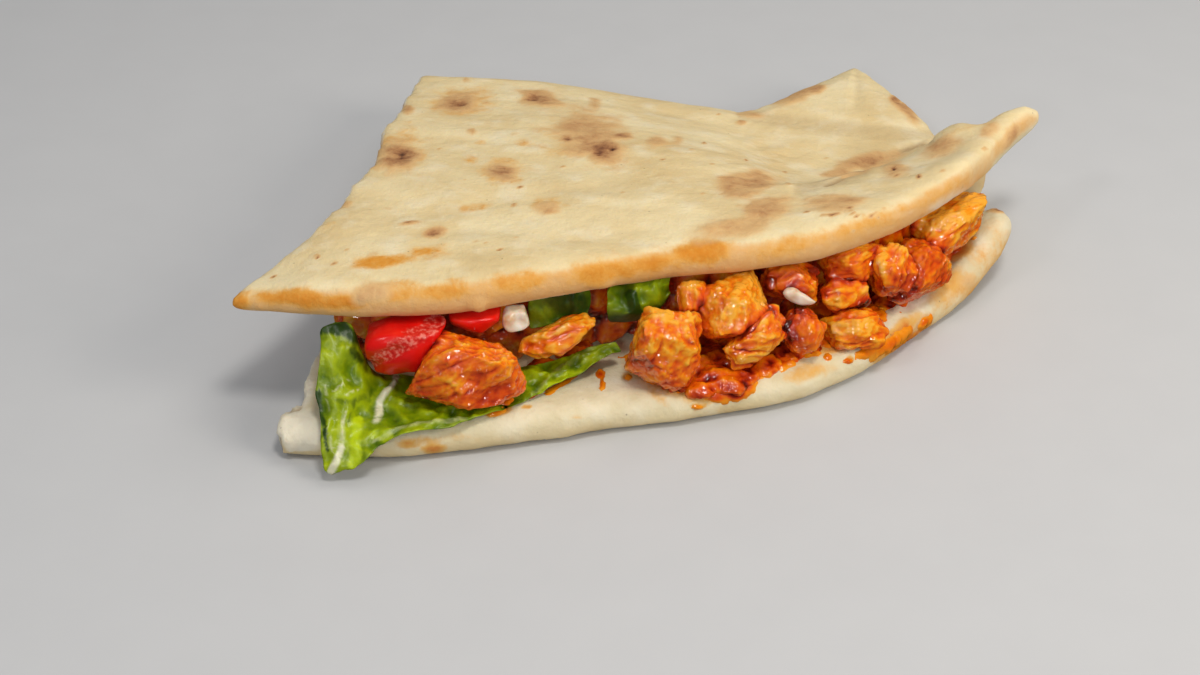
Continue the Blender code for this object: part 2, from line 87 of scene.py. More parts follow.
def add_node(tree, kind, settings=None, links=None, take=0):
    """Adds a shader node, sets and links its sockets, and gives back one of its outputs."""
    node = tree.nodes.new(kind)
    for key, value in (settings or {}).items():
        if key == "stops":
            stops = node.color_ramp.elements
            stops.remove(stops[1])
            stops[0].position, stops[0].color = value[0][0], linear(value[0][1])
            for place, colour in value[1:]:
                stops.new(place).color = linear(colour)
        elif isinstance(key, str) and hasattr(node, key):
            setattr(node, key, value)
        else:
            node.inputs[key].default_value = value
    for key, source in (links or {}).items():
        tree.links.new(source, node.inputs[key])
    return node.outputs[take]


def grain_of(size_mm):
    """The scale at which a noise has grains of a real size in millimetres, to two figures."""
    return float(f"{1000 / size_mm:.2g}")


def new_material(name):
    """A Principled material: itself, its node tree, its shader and the place on the object."""
    material = bpy.data.materials.new(name)
    material.use_nodes = True
    tree = material.node_tree
    where = add_node(tree, "ShaderNodeTexCoord", take=3)
    return material, tree, tree.nodes["Principled BSDF"].inputs, where


camera = bpy.data.objects.new("camera", bpy.data.cameras.new("camera"))
camera.data.lens = LENS_MM
camera.data.sensor_width = SENSOR_MM
camera.data.clip_start = 0.01
camera.location = CAMERA_SPOT
camera.rotation_euler = (CAMERA_TILT, 0, 0)
scene.collection.objects.link(camera)
scene.camera = camera

floor_mesh = bpy.data.meshes.new("table_top")
shape = bmesh.new()
bmesh.ops.create_grid(shape, x_segments=4, y_segments=4, size=TABLE_REACH)
shape.to_mesh(floor_mesh)
shape.free()
floor = bpy.data.objects.new("table_top", floor_mesh)
scene.collection.objects.link(floor)

# Matte paper: a cloudy grain keeps its grey from looking flat, and the wet sauce doesn't mirror it.
floor_material, tree, inputs, where = new_material("matte_paper_sweep")
grain = add_node(tree, "ShaderNodeTexNoise", {"Scale": grain_of(16.7), "Detail": 3.0}, {"Vector": where})
tree.links.new(add_node(tree, "ShaderNodeMix",
                        {"data_type": "RGBA", 6: linear("#C0C1C3"), 7: linear("#C4C5C7")},
                        {0: grain}, take=2), inputs["Base Color"])
inputs["Roughness"].default_value = 0.85
floor_mesh.materials.append(floor_material)
floor.visible_glossy = False

for name, (spot, width, watts, tint, shows) in LAMPS.items():
    light = bpy.data.objects.new(name, bpy.data.lights.new(name, "AREA"))
    light.data.shape = "DISK"
    light.data.size = width
    light.data.energy = watts
    light.data.color = linear(tint)[:3]
    light.location = spot
    light.visible_glossy = shows
    light.rotation_euler = (LAMP_AIM - Vector(spot)).to_track_quat("-Z", "Y").to_euler()
    scene.collection.objects.link(light)

world = bpy.data.worlds.new("studio")
world.use_nodes = True
world.node_tree.nodes["Background"].inputs["Color"].default_value = linear(ROOM_TINT)
world.node_tree.nodes["Background"].inputs["Strength"].default_value = ROOM_STRENGTH
world.cycles_visibility.glossy = False
scene.world = world
scene.view_settings.view_transform = "Standard"

# Bread
# One flatbread of wheat dough, about 7.5 mm thick, baked on a stone and folded hot round the filling.
# Baking leaves char spots where bubbles met the heat and a golden rim; it was then cut at the left.

BREAD_VOXEL = 0.0012
BREAD_SMOOTHINGS = 8
BOX_MARGIN = 0.0001
FLOOR_FACE = 0.0006
# The dough was pulled this way before baking, which left fine ridges along it.
PULL_TURN = -0.24
PULL_AXES = np.array(((0.97, -0.24, 0), (0.24, 0.97, 0), (0, 0, 1)))
# Marks are placed by the photograph: centre, half width and height in its pixels, turn, strength.
CHAR_MARKS = [
    (458, 102, 22, 12, 0, 0.75), (462, 103, 11, 6, 0, 1.0), (541, 98, 24, 10, 5, 0.8),
    (533, 97, 13, 6, 5, 1.1), (595, 106, 8, 8, 0, 0.5), (590, 135, 44, 28, 10, 0.68),
    (606, 151, 24, 13, -15, 0.95), (567, 139, 8, 6, 0, 1.0), (622, 137, 14, 6, 0, 0.85),
    (614, 149, 6, 4, 0, 1.3), (598, 154, 8, 4, 0, 1.15), (401, 155, 5, 6, 0, 1.2),
    (655, 141, 12, 6, 0, 0.7), (678, 140, 8, 5, 0, 0.5), (472, 131, 6, 4, 0, 0.6),
    (502, 171, 18, 9, 5, 0.85), (398, 157, 24, 20, -20, 0.9), (403, 155, 13, 13, 0, 1.0),
    (408, 109, 7, 6, 0, 0.75), (346, 204, 7, 5, -30, 0.6), (548, 209, 16, 8, 0, 0.6),
    (550, 213, 12, 3, 0, 0.75), (407, 224, 12, 3, -12, 0.75), (433, 233, 13, 6, -15, 1.0),
    (372, 292, 22, 14, -10, 0.62), (745, 184, 32, 13, -8, 0.8), (893, 169, 16, 10, 0, 0.55),
    (893, 169, 3, 3, 0, 1.3), (918, 177, 2.5, 2.5, 0, 1.2), (944, 170, 2.5, 2, 0, 1.1),
    (984, 149, 4, 2, 0, 0.9), (865, 162, 44, 10, -18, 0.8), (765, 210, 34, 13, -20, 0.72),
    (735, 226, 52, 13, -10, 0.62), (834, 203, 34, 12, 0, 0.68), (945, 146, 28, 12, -20, 0.6),
    (987, 131, 14, 10, -30, 0.5), (800, 95, 30, 9, -22, 0.62), (815, 90, 12, 6, -22, 0.8),
    (906, 112, 22, 6, 42, 0.75), (895, 101, 9, 5, 42, 0.95), (750, 113, 16, 5, 8, 0.5),
    (742, 122, 6, 3, 0, 0.7), (513, 205, 2.5, 2.5, 0, 1.0), (388, 209, 3, 2, 0, 1.0),
    (317, 256, 3, 2.5, 0, 1.2), (345, 250, 2.5, 2, 0, 1.1), (334, 262, 3, 2, 0, 1.0),
    (273, 276, 2.5, 2, 0, 1.0), (704, 194, 2, 2, 0, 1.0), (785, 172, 2, 2, 0, 1.0),
    (466, 81, 5, 3, 0, 0.6), (373, 254, 8, 3, -10, 0.4), (1009, 281, 10, 5, -45, 0.6),
    (1000, 211, 14, 3, -5, 0.9), (968, 281, 12, 8, -40, 0.6), (918, 324, 15, 4, -45, 0.95),
    (880, 350, 14, 3, -34, 0.6),
]
TOAST_MARKS = [
    (385, 261, 36, 7, -8, 0.95), (425, 251, 30, 8, -6, 0.85), (405, 257, 60, 8, -8, 0.6),
    (475, 207, 18, 5, -8, 0.55), (398, 152, 34, 25, 0, 0.72), (460, 102, 34, 20, 0, 0.65),
    (481, 142, 8, 4, 0, 0.55), (472, 158, 9, 6, 0, 0.55), (524, 143, 12, 6, 10, 0.6),
    (544, 146, 12, 4, 0, 0.5), (513, 134, 6, 4, 0, 0.45), (548, 204, 20, 11, 0, 0.55),
    (600, 272, 58, 14, -8, 0.95), (650, 262, 30, 14, -8, 1.05), (640, 264, 90, 18, -8, 0.6),
    (708, 250, 38, 15, -5, 1.1), (290, 298, 60, 12, 4, 1.1), (330, 302, 60, 9, 0, 1.1),
    (240, 302, 16, 10, 0, 1.0), (400, 292, 50, 14, 0, 0.7), (445, 290, 40, 11, -5, 0.85),
    (520, 282, 50, 14, -8, 0.75), (790, 246, 50, 13, -14, 0.7), (870, 222, 60, 12, -20, 0.6),
    (940, 195, 50, 10, -28, 0.5), (1010, 150, 50, 7, -38, 0.5), (800, 92, 36, 10, -22, 0.6),
    (565, 206, 12, 4, 0, 0.4), (600, 165, 60, 8, 0, 0.3), (655, 143, 30, 8, 0, 0.4),
    (300, 345, 10, 8, 0, 0.6), (988, 255, 26, 44, 20, 0.5), (960, 290, 34, 16, -45, 0.7),
    (895, 340, 36, 14, -36, 1.0), (345, 204, 10, 6, -30, 0.5), (960, 130, 60, 8, -20, 0.3),
    (503, 172, 26, 16, 0, 0.65), (580, 140, 50, 30, 10, 0.5), (330, 225, 12, 5, 0, 0.3),
]
STAIN_MARKS = [
    (408, 444, 14, 5, 0, 0.8), (434, 448, 16, 6, -5, 0.75), (497, 411, 16, 6, -20, 1.1),
    (527, 407, 6, 3, 0, 0.8), (579, 417, 10, 4, 0, 0.3), (628, 376, 7, 6, 0, 0.7),
    (655, 393, 24, 7, 45, 0.45), (640, 377, 26, 10, 40, 0.4), (698, 407, 9, 3, 0, 0.8),
    (812, 372, 34, 11, -12, 0.5), (850, 359, 5, 4, 0, 0.8), (297, 345, 5, 4, 0, 0.7),
    (360, 330, 12, 12, 0, 0.5), (700, 380, 66, 24, 8, 0.8), (775, 358, 44, 14, -18, 0.8),
    (900, 338, 44, 16, -32, 0.95), (925, 326, 12, 6, -45, 1.2), (840, 345, 30, 10, -15, 0.8),
    (955, 245, 28, 18, -30, 0.95), (950, 285, 30, 14, -50, 0.6), (345, 330, 14, 10, 0, 0.5),
    (420, 440, 30, 6, 0, 0.45), (460, 437, 30, 6, 0, 0.3),
]
CRUMB_MARKS = [
    (301, 432, 24, 26, 0, 1.3), (306, 390, 8, 20, 8, 1.2), (340, 318, 22, 12, 0, 0.7),
    (914, 300, 20, 9, -35, 1.1), (893, 309, 12, 6, 0, 0.9), (925, 290, 10, 6, -45, 0.8),
]
FLOUR_MARKS = [
    (950, 200, 34, 9, -28, 0.9), (900, 215, 40, 6, -15, 0.6), (640, 258, 60, 9, -8, 0.5),
    (720, 232, 60, 9, -8, 0.5), (1000, 160, 40, 8, -38, 0.6), (350, 245, 60, 10, -12, 0.35),
]
# Creases run through these pixels, each given with its half width, and have a depth. The same strength
# paints shade along them, and the lines round the torn crumb at the left are painted shadow.
CREASES_AND_SHADE = [
    (((741, 113, 8), (790, 119, 10), (825, 125, 11), (885, 133, 10), (933, 134, 8)), 0.5),
    (((800, 188, 10), (850, 173, 10), (880, 162, 9), (905, 150, 8), (930, 141, 7)), 0.6),
    (((826, 183, 2.5), (848, 173, 3), (868, 167, 2.5)), 1.0),
    (((880, 160, 2.5), (903, 149, 3), (924, 142, 2.5)), 1.0),
    (((858, 73, 5), (858, 92, 6), (856, 104, 5)), 0.4),
    (((640, 262, 8), (700, 240, 8), (760, 222, 8)), 0.3),
    (((370, 222, 8), (450, 212, 8), (520, 196, 8), (600, 190, 8)), 0.25),
    (((380, 238, 8), (460, 232, 8), (540, 222, 8)), 0.2),
    (((278, 412, 2.5), (276, 432, 3), (281, 452, 2.5)), 0.9),
    (((284, 457, 2.5), (304, 459, 2.5), (324, 459, 2.5)), 0.8),
    (((306, 368, 2), (301, 384, 2.5), (299, 400, 2.5), (300, 408, 2), (285, 411, 2)), 0.8),
]
# Two nubs of dough hang from the rim.
NUBS = [(478, 304, 10, 6, 0, 1.0), (602, 281, 17, 7, -8, 1.0)]
# Soot lies thick on the raised roll and thinly elsewhere: middle and spread in pixels, and its count.
SOOT_FIELDS = [(848, 212, 36, 8, 40), (700, 170, 260, 70, 40), (450, 240, 130, 24, 12)]
# The sides that the photograph doesn't show get spots of the same kinds, scattered by chance.
HIDDEN_SPOTS = 46
SPOT_RADII = (0.0015, 0.003, 0.005, 0.009)
# How far the skin moves in metres where each thing is in full.
SWELL, PIMPLE, PULL_RIDGE = 0.00045, 0.00018, 0.00022
BUBBLE_RISE, BURNT_SINK, CREASE_DEPTH = 0.0003, 0.0005, 0.0010
CRUMB_ROUGHNESS, CRUMB_SINK = 0.0012, 0.0005
NUB_RISE, NUB_DROOP = 0.0006, (0, 0.0002, 0.0009)


def cad_copy(node):
    """A merged copy of a CAD node's mesh, as a bmesh."""
    shape = bmesh.new()
    shape.from_mesh(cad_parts[node].data)
    bmesh.ops.remove_doubles(shape, verts=shape.verts, dist=1e-6)
    return shape


def new_piece(name, shape):
    """An object from a bmesh, which is then freed."""
    mesh = bpy.data.meshes.new(name)
    shape.to_mesh(mesh)
    shape.free()
    piece = bpy.data.objects.new(name, mesh)
    scene.collection.objects.link(piece)
    return piece


def apply_modifiers(piece):
    """Turns a piece's modifiers into its mesh."""
    graph = bpy.context.evaluated_depsgraph_get()
    graph.update()
    finished = bpy.data.meshes.new_from_object(piece.evaluated_get(graph))
    finished.name = piece.name
    piece.modifiers.clear()
    piece.data = finished


def remeshed(piece, voxel, smoothings):
    """Rebuilds a piece as an even skin of small faces, and smooths its facets away."""
    remesh = piece.modifiers.new("Skin", "REMESH")
    remesh.mode = "VOXEL"
    remesh.voxel_size = voxel
    remesh.use_smooth_shade = True
    calm = piece.modifiers.new("Calm", "SMOOTH")
    calm.factor = 0.5
    calm.iterations = smoothings
    apply_modifiers(piece)
    return piece


def skin_of(mesh):
    """A mesh's points and their normals as arrays."""
    points = np.empty(len(mesh.vertices) * 3)
    mesh.vertices.foreach_get("co", points)
    normals = np.empty(len(mesh.vertices) * 3)
    mesh.vertex_normals.foreach_get("vector", normals)
    return points.reshape(-1, 3), normals.reshape(-1, 3)


def move_points(mesh, points):
    """Puts the points at new places inside the CAD box, none under the table."""
    low, high = (np.array(corner) for corner in cad_box)
    points = np.clip(points, low + BOX_MARGIN, high - BOX_MARGIN)
    mesh.vertices.foreach_set("co", points.ravel())
    mesh.update()


def paint(mesh, name, values):
    """Stores one number for each point, for the material to read."""
    layer = mesh.attributes.new(name, "FLOAT", "POINT")
    layer.data.foreach_set("value", np.clip(values, 0, 2).astype(np.float32))


def ramp(values, low, high):
    """0 below low, 1 above high, and an even S between."""
    share = np.clip((values - low) / (high - low), 0, 1)
    return share * share * (3 - 2 * share)


def noise_field(points, size_mm, seed, octaves=3):
    """Smooth noise of about -1 to 1 with bumps of a size in millimetres, given once or for each axis."""
    scaled = points * (1000 / np.array(size_mm)) + seed * 7.31
    return np.array([noise.fractal(Vector(p), 1.0, 2.0, octaves) for p in scaled.tolist()])


def photo_pixels(points):
    """Where the camera sees each point, in the photograph's pixels."""
    away = points - np.array(CAMERA_SPOT)
    depth = away @ np.array((0, math.sin(CAMERA_TILT), -math.cos(CAMERA_TILT)))
    rise = away @ np.array((0, math.cos(CAMERA_TILT), math.sin(CAMERA_TILT)))
    scale = PHOTO_WIDTH * LENS_MM / SENSOR_MM / depth
    return np.stack([PHOTO_CENTRE[0] + away[:, 0] * scale, PHOTO_CENTRE[1] - rise * scale], axis=1)


def photo_ray(u, v):
    """The direction from the camera through a pixel of the photograph."""
    across, up = u - PHOTO_CENTRE[0], PHOTO_CENTRE[1] - v
    ahead = PHOTO_WIDTH * LENS_MM / SENSOR_MM
    ray = Vector((across, ahead * math.sin(CAMERA_TILT) + up * math.cos(CAMERA_TILT),
                  -ahead * math.cos(CAMERA_TILT) + up * math.sin(CAMERA_TILT)))
    return ray.normalized()


def photo_marks(points, normals, solid, marks, raggedness=None):
    """How strongly the marks seen in the photograph cover each point of a surface."""
    seen = photo_pixels(points)
    cover = np.zeros(len(points))
    for u, v, half_width, half_height, turn, strength in marks:
        spot, facing, index, distance = solid.ray_cast(CAMERA_SPOT, photo_ray(u, v))
        if spot is None:
            continue
        aside, along = seen[:, 0] - u, seen[:, 1] - v
        cosine, sine = math.cos(math.radians(turn)), math.sin(math.radians(turn))
        reach = np.hypot((aside * cosine + along * sine) / half_width,
                         (along * cosine - aside * sine) / half_height)
        if raggedness is not None:
            reach = reach + raggedness
        size = max(half_width, half_height) * distance / (PHOTO_WIDTH * LENS_MM / SENSOR_MM)
        same_side = (normals @ np.array(facing) > 0.1)
        near = np.linalg.norm(points - np.array(spot), axis=1) < 3 * size + 0.002
        cover = np.maximum(cover, strength * ramp(1.35 - reach, 0, 1.1) * same_side * near)
    return cover


def stroke(line, strength):
    """A run of round marks along a line of pixels, each with its half width."""
    marks = []
    for start, end in zip(line, line[1:]):
        start, end = np.array(start, float), np.array(end, float)
        steps = max(1, round(np.linalg.norm((end - start)[:2]) / min(start[2], end[2]) * 1.5))
        for i in range(steps + 1):
            u, v, half_width = start + (end - start) * i / steps
            marks.append((u, v, half_width, half_width, 0, strength))
    return marks


bread = remeshed(new_piece("flatbread", cad_copy("bread")), BREAD_VOXEL, BREAD_SMOOTHINGS)
points, normals = skin_of(bread.data)
bread_solid = BVHTree.FromPolygons(points.tolist(), [tuple(p.vertices) for p in bread.data.polygons])

# The leaves' inner faces are paler. They meet at a middle height that rises towards the opening.
leaf_middle = 0.0093 + 0.0077 * ramp(-points[:, 1], -0.06, 0.075)
leaf_middle += 0.012 * ramp(points[:, 0], 0.075, 0.095)
facing_bread = np.array([
    bread_solid.ray_cast(Vector(p) + Vector(n) * 0.001, Vector(n), 0.07)[0] is not None
    for p, n in zip(points.tolist(), normals.tolist())])
inner = np.where(points[:, 2] > leaf_middle, normals[:, 2] < -0.1, normals[:, 2] > 0.1) | facing_bread
inner &= (points[:, 2] < leaf_middle + 0.004) | (normals[:, 2] < -0.86) | (points[:, 1] > 0)
edges = np.empty(len(bread.data.edges) * 2, dtype=np.int64)
bread.data.edges.foreach_get("vertices", edges)
edges = edges.reshape(-1, 2)


def spread(values, edges, times):
    """Softens values over a mesh by averaging along its edges."""
    for _ in range(times):
        total, count = values.copy(), np.ones(len(values))
        for here, there in ((0, 1), (1, 0)):
            np.add.at(total, edges[:, here], values[edges[:, there]])
            np.add.at(count, edges[:, here], 1)
        values = total / count
    return values


inner = spread(inner.astype(float), edges, 3)
ragged = 0.35 * noise_field(points, 7, 1, 2)
char = photo_marks(points, normals, bread_solid, CHAR_MARKS, ragged)
toast = photo_marks(points, normals, bread_solid, TOAST_MARKS, 1.3 * ragged)
stain = photo_marks(points, normals, bread_solid, STAIN_MARKS, ragged)
crumb = photo_marks(points, normals, bread_solid, CRUMB_MARKS, 0.5 * ragged)
flour = photo_marks(points, normals, bread_solid, FLOUR_MARKS, ragged)
crease = np.zeros(len(points))
for line, depth in CREASES_AND_SHADE:
    crease = np.maximum(crease, photo_marks(points, normals, bread_solid, stroke(line, depth)))
nub = photo_marks(points, normals, bread_solid, NUBS)

chance = random.Random(7)
hidden = ramp(-normals[:, 2], 0.2, 0.6) + ramp(normals[:, 1], 0.3, 0.7) + ramp(normals[:, 0], 0.4, 0.8)
hidden *= 1 - inner
candidates = np.flatnonzero(hidden > 0.8)
for _ in range(HIDDEN_SPOTS):
    centre = points[candidates[chance.randrange(len(candidates))]]
    radius = chance.choice(SPOT_RADII)
    squash = (1, chance.uniform(0.7, 1.6), 1)
    reach = np.linalg.norm((points - centre) * squash, axis=1) / radius + ragged
    char = np.maximum(char, chance.uniform(0.5, 1.0) * ramp(1.3 - reach, 0, 1.1) * np.minimum(hidden, 1))
    toast = np.maximum(toast, 0.5 * ramp(1.3 - reach / 1.7, 0, 1.1) * np.minimum(hidden, 1))

soot_marks = []
for u, v, half_width, half_height, count in SOOT_FIELDS:
    for _ in range(count):
        across, down = chance.gauss(0, 0.5) * half_width, chance.gauss(0, 0.5) * half_height
        length, strength = chance.uniform(1.0, 2.2), chance.uniform(0.5, 1.15)
        soot_marks.append((u + across, v + down, length, 1.2, -15, strength))
char = np.maximum(char, photo_marks(points, normals, bread_solid, soot_marks))

# The knife's face at the left and the torn block show white crumb; the nose of the rim is golden.
cut = ramp(-normals[:, 0], 0.35, 0.75) * ramp(-points[:, 0], 0.03, 0.045)
cut *= ramp(0.8 - np.abs(normals[:, 1]), 0, 0.3)
torn = np.clip(crumb, 0, 1) + 0.3 * cut
crumb = np.maximum(crumb, cut)
nose = ramp(-normals[:, 1], 0.15, 0.75) * ramp(points[:, 2], 0.018, 0.024) * (1 - inner)
rim = np.maximum(nose, 0.6 * ramp(normals[:, 0], 0.5, 0.9) * (1 - inner))

# Relief: swells, ridges of the pull, raised bubbles with sunken burnt tops, creases, nubs, crumb.
outer_skin = np.clip(1 - inner, 0, 1)
shift = SWELL * noise_field(points, 26, 3, 2) + PIMPLE * noise_field(points, 8, 4, 2)
shift += PULL_RIDGE * noise_field(points @ PULL_AXES.T, (34, 5, 8), 5, 2) * outer_skin
shift += BUBBLE_RISE * ramp(char, 0.25, 0.6) - BURNT_SINK * ramp(char, 0.8, 1.1)
shift -= CREASE_DEPTH * crease
shift += NUB_RISE * nub
shift += torn * (CRUMB_ROUGHNESS * np.abs(noise_field(points, (1.6, 5, 5), 6, 3)) - CRUMB_SINK)
resting = ramp(FLOOR_FACE + 0.0006 - points[:, 2], 0, 0.0006)
shift = np.where(resting > 0, np.minimum(shift * (1 - resting), 0.0), shift)
points = points + normals * shift[:, None] - np.outer(nub, NUB_DROOP)
move_points(bread.data, points)
painted = {"inner": inner, "char": char, "toast": toast, "stain": stain, "crumb": crumb, "flour": flour,
           "crease": crease, "rim": rim}
for name, values in painted.items():
    paint(bread.data, name, values)

# Baked dough is matte and lets in a little light: soft mottling, a haze of flour and dark bran specks.
bread_material, tree, inputs, where = new_material("baked_flatbread")
layers = {name: add_node(tree, "ShaderNodeAttribute", {"attribute_name": name}, take=2)
          for name in painted}
broad = add_node(tree, "ShaderNodeTexNoise", {"Scale": grain_of(22), "Detail": 3.0}, {"Vector": where})
fine = add_node(tree, "ShaderNodeTexNoise", {"Scale": grain_of(2.4), "Detail": 5.0, "Roughness": 0.65},
                {"Vector": where})
mottle = add_node(tree, "ShaderNodeTexNoise", {"Scale": grain_of(7.7), "Detail": 4.0}, {"Vector": where})
dough = add_node(tree, "ShaderNodeValToRGB",
                 {"stops": [(0.3, "#DAC08C"), (0.5, "#E3CD9C"), (0.7, "#EBD9AC")]},
                 {"Fac": broad})
haze = add_node(tree, "ShaderNodeMapRange", {"From Min": 0.5, "From Max": 0.72, "To Max": 0.6},
                {"Value": mottle})
outer_colour = add_node(tree, "ShaderNodeMix", {"data_type": "RGBA", 7: linear("#EBE0C0")},
                        {0: haze, 6: dough}, take=2)
along = add_node(tree, "ShaderNodeMapping",
                 {"Rotation": (0, 0, PULL_TURN), "Scale": (grain_of(11.1), grain_of(5), grain_of(5))},
                 {"Vector": where})
streaks = add_node(tree, "ShaderNodeTexNoise", {"Scale": 1.0, "Detail": 4.0, "Distortion": 0.5},
                   {"Vector": along})
streak = add_node(tree, "ShaderNodeMapRange", {"From Min": 0.55, "From Max": 0.85, "To Max": 0.4},
                  {"Value": streaks})
outer_colour = add_node(tree, "ShaderNodeMix", {"data_type": "RGBA", 7: linear("#CDBB90")},
                        {0: streak, 6: outer_colour}, take=2)
inner_colour = add_node(tree, "ShaderNodeValToRGB",
                        {"stops": [(0.35, "#D6C8A2"), (0.55, "#E0D4B3"), (0.75, "#E8DFC5")]},
                        {"Fac": mottle})
colour = add_node(tree, "ShaderNodeMix", {"data_type": "RGBA"},
                  {0: layers["inner"], 6: outer_colour, 7: inner_colour}, take=2)


def mark_amount(tree, layer, grain, grain_share, low, high):
    """A painted layer roughened by a grain and turned to an amount between two thresholds."""
    grainy = add_node(tree, "ShaderNodeMath",
                      {"operation": "MULTIPLY_ADD", 1: grain_share, 2: -grain_share / 2}, {0: grain})
    whole = add_node(tree, "ShaderNodeMath", {"operation": "ADD"}, {0: layer, 1: grainy})
    return add_node(tree, "ShaderNodeMapRange",
                    {"interpolation_type": "SMOOTHSTEP", "From Min": low, "From Max": high},
                    {"Value": whole})


# Colours laid over the dough in turn: painted layer, share of grain in its edge, thresholds, colour.
patchy = add_node(tree, "ShaderNodeMix", {0: 0.55}, {2: fine, 3: mottle})
for layer, share, low, high, tint in (
        ("rim", 0.5, 0.1, 1.25, "#DCA662"), ("crumb", 0.3, 0.2, 0.8, "#E9E0C9"),
        ("flour", 0.5, 0.3, 1.3, "#E6E0CC"), ("toast", 0.8, 0.1, 0.95, "#E0A54A"),
        # The crease layer is painted shade: a warm brown darkening along the creases and round the torn
        # crumb.
        ("toast", 1.2, 0.45, 1.35, "#D2810F"), ("crease", 0.2, 0.1, 1.3, "#A2855E"),
        ("stain", 0.5, 0.1, 0.6, "#DDAA58"), ("stain", 0.5, 0.5, 1.0, "#CF6E14"),
        ("char", 0.7, 0.02, 0.55, "#DAB27A"), ("char", 1.5, 0.35, 1.1, "#B47E50"),
        ("char", 1.6, 0.75, 1.3, "#6A402C"), ("char", 0.5, 1.05, 1.35, "#33241D"),
):
    amount = mark_amount(tree, layers[layer], patchy if layer == "char" else fine, share, low, high)
    colour = add_node(tree, "ShaderNodeMix", {"data_type": "RGBA", 7: linear(tint)},
                      {0: amount, 6: colour}, take=2)
specks = add_node(tree, "ShaderNodeTexVoronoi", {"Scale": grain_of(6.2)}, {"Vector": where})
speck = add_node(tree, "ShaderNodeMapRange", {"From Min": 0.05, "From Max": 0.02, "To Max": 0.5},
                 {"Value": specks})
colour = add_node(tree, "ShaderNodeMix", {"data_type": "RGBA", 7: linear("#6E563C")},
                  {0: speck, 6: colour}, take=2)
tree.links.new(colour, inputs["Base Color"])
inputs["Roughness"].default_value = 0.72
inputs["Subsurface Weight"].default_value = 0.08
inputs["Subsurface Radius"].default_value = (1.0, 0.6, 0.3)
inputs["Subsurface Scale"].default_value = 0.0015
grainy_height = add_node(tree, "ShaderNodeMath", {"operation": "ADD"}, {0: fine, 1: mottle})
grainy_height = add_node(tree, "ShaderNodeMath", {"operation": "MULTIPLY_ADD", 1: -0.5},
                         {0: streaks, 2: grainy_height})
tree.links.new(add_node(tree, "ShaderNodeBump", {"Strength": 0.8, "Distance": 0.0005},
                        {"Height": grainy_height}), inputs["Normal"])
bread.data.materials.append(bread_material)
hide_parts("bread")
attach(bread, "root")

# Chicken
# Diced chicken breast, 12 to 28 mm a piece, cut to flat faces and torn along its fibres.
# Each piece is fried and then coated in a thin glossy chilli sauce, which pools red where pieces touch;
# painted shade darkens it there too.

CHICKEN_VOXEL = 0.00045
CHICKEN_SMOOTHINGS = 6
KNIFE_CUTS = 10
CUT_SHARPNESS = 0.85
# How far the skin moves in metres: with its relief, where pieces press, and how fibres wander.
MEAT_RELIEF = 0.0009
MEAT_PRESS = 0.0008
FIBRE_WANDER = 0.0016
# The way each piece's fibres run, how strongly they show, and how golden it is.
CHICKEN_LOOKS = {
    "chicken_01": ((0.85, 0.3, 0.45), 0.5, 0.3), "chicken_02": ((1, 0.3, 0.1), 0.6, 0.6),
    "chicken_03": ((0.6, -0.5, 0.6), 0.6, 0.45), "chicken_04": ((0.3, 0.9, 0.2), 0.05, 0.75),
    "chicken_05": ((0.2, 0.4, 0.9), 0.7, 0.65), "chicken_06": ((0.9, 0.5, 0), 1.0, 0.5),
    "chicken_07": ((0.4, 0.6, 0.6), 0.5, -0.1), "chicken_08": ((1, 0.2, 0), 0.6, 0.25),
    "chicken_09": ((0.9, 0.3, 0.1), 0.6, 0.42), "chicken_10": ((0.9, 0.3, 0.1), 0.8, 0.6),
    "chicken_11": ((0.9, -0.2, 0.1), 0.7, 0.5), "chicken_12": ((0.3, 0.3, 0.9), 0.9, 0.35),
    "chicken_13": ((0.5, 0.6, 0.5), 0.1, 0.05), "chicken_14": ((0.9, 0.5, 0.1), 0.3, 0.95),
}


def diced_meat(piece, others, axis, fibre, seed):
    """Cuts flat faces on a lump, tears it along its fibres, and gives back its heights and its nearness
    to other pieces, for sauce and painted shade.
    """
    points, normals = skin_of(piece.data)
    chance = random.Random(seed)
    middle = points.mean(axis=0)
    for _ in range(KNIFE_CUTS):
        way = np.array([chance.gauss(0, 1) for _ in range(3)])
        way /= np.linalg.norm(way)
        reach = (points - middle) @ way
        over = np.clip(reach - chance.uniform(0.7, 0.88) * reach.max(), 0, None)
        points = points - np.outer(over * CUT_SHARPNESS, way)
    move_points(piece.data, points)
    points, normals = skin_of(piece.data)
    along = np.array(Vector(axis).normalized())
    wander = [noise_field(points, 8, seed + part, 1) for part in (7, 8, 9)]
    bent = points + FIBRE_WANDER * np.stack(wander, axis=1)
    squeezed = bent - np.outer(bent @ along, along) * 0.85
    drawn = bent - np.outer(bent @ along, along) * (0.3 + 0.35 * fibre)
    lumps = noise_field(points, 7, seed, 2)
    crags = noise_field(drawn, 3.4, seed + 1, 3)
    threads = noise_field(squeezed, 2.0, seed + 2, 2)
    fine_threads = 1 - 3 * np.abs(noise_field(squeezed, 1.3, seed + 3, 2))
    tears = np.exp(-(noise_field(squeezed, 6.5, seed + 4, 2) / 0.06) ** 2)
    grains = noise_field(drawn, 1.3, seed + 5, 2)
    close = np.array([others.find_nearest(Vector(p))[3] for p in points.tolist()])
    crevice = ramp(-close, -0.0024, -0.0003)
    height = 0.4 * lumps + (0.25 + 0.4 * fibre) * crags + 0.4 * grains
    height += fibre * (0.4 * threads + 0.22 * fine_threads - 0.7 * tears)
    points = points + normals * (MEAT_RELIEF * height + MEAT_PRESS * crevice)[:, None]
    move_points(piece.data, points)
    return 0.5 + 0.5 * height, crevice
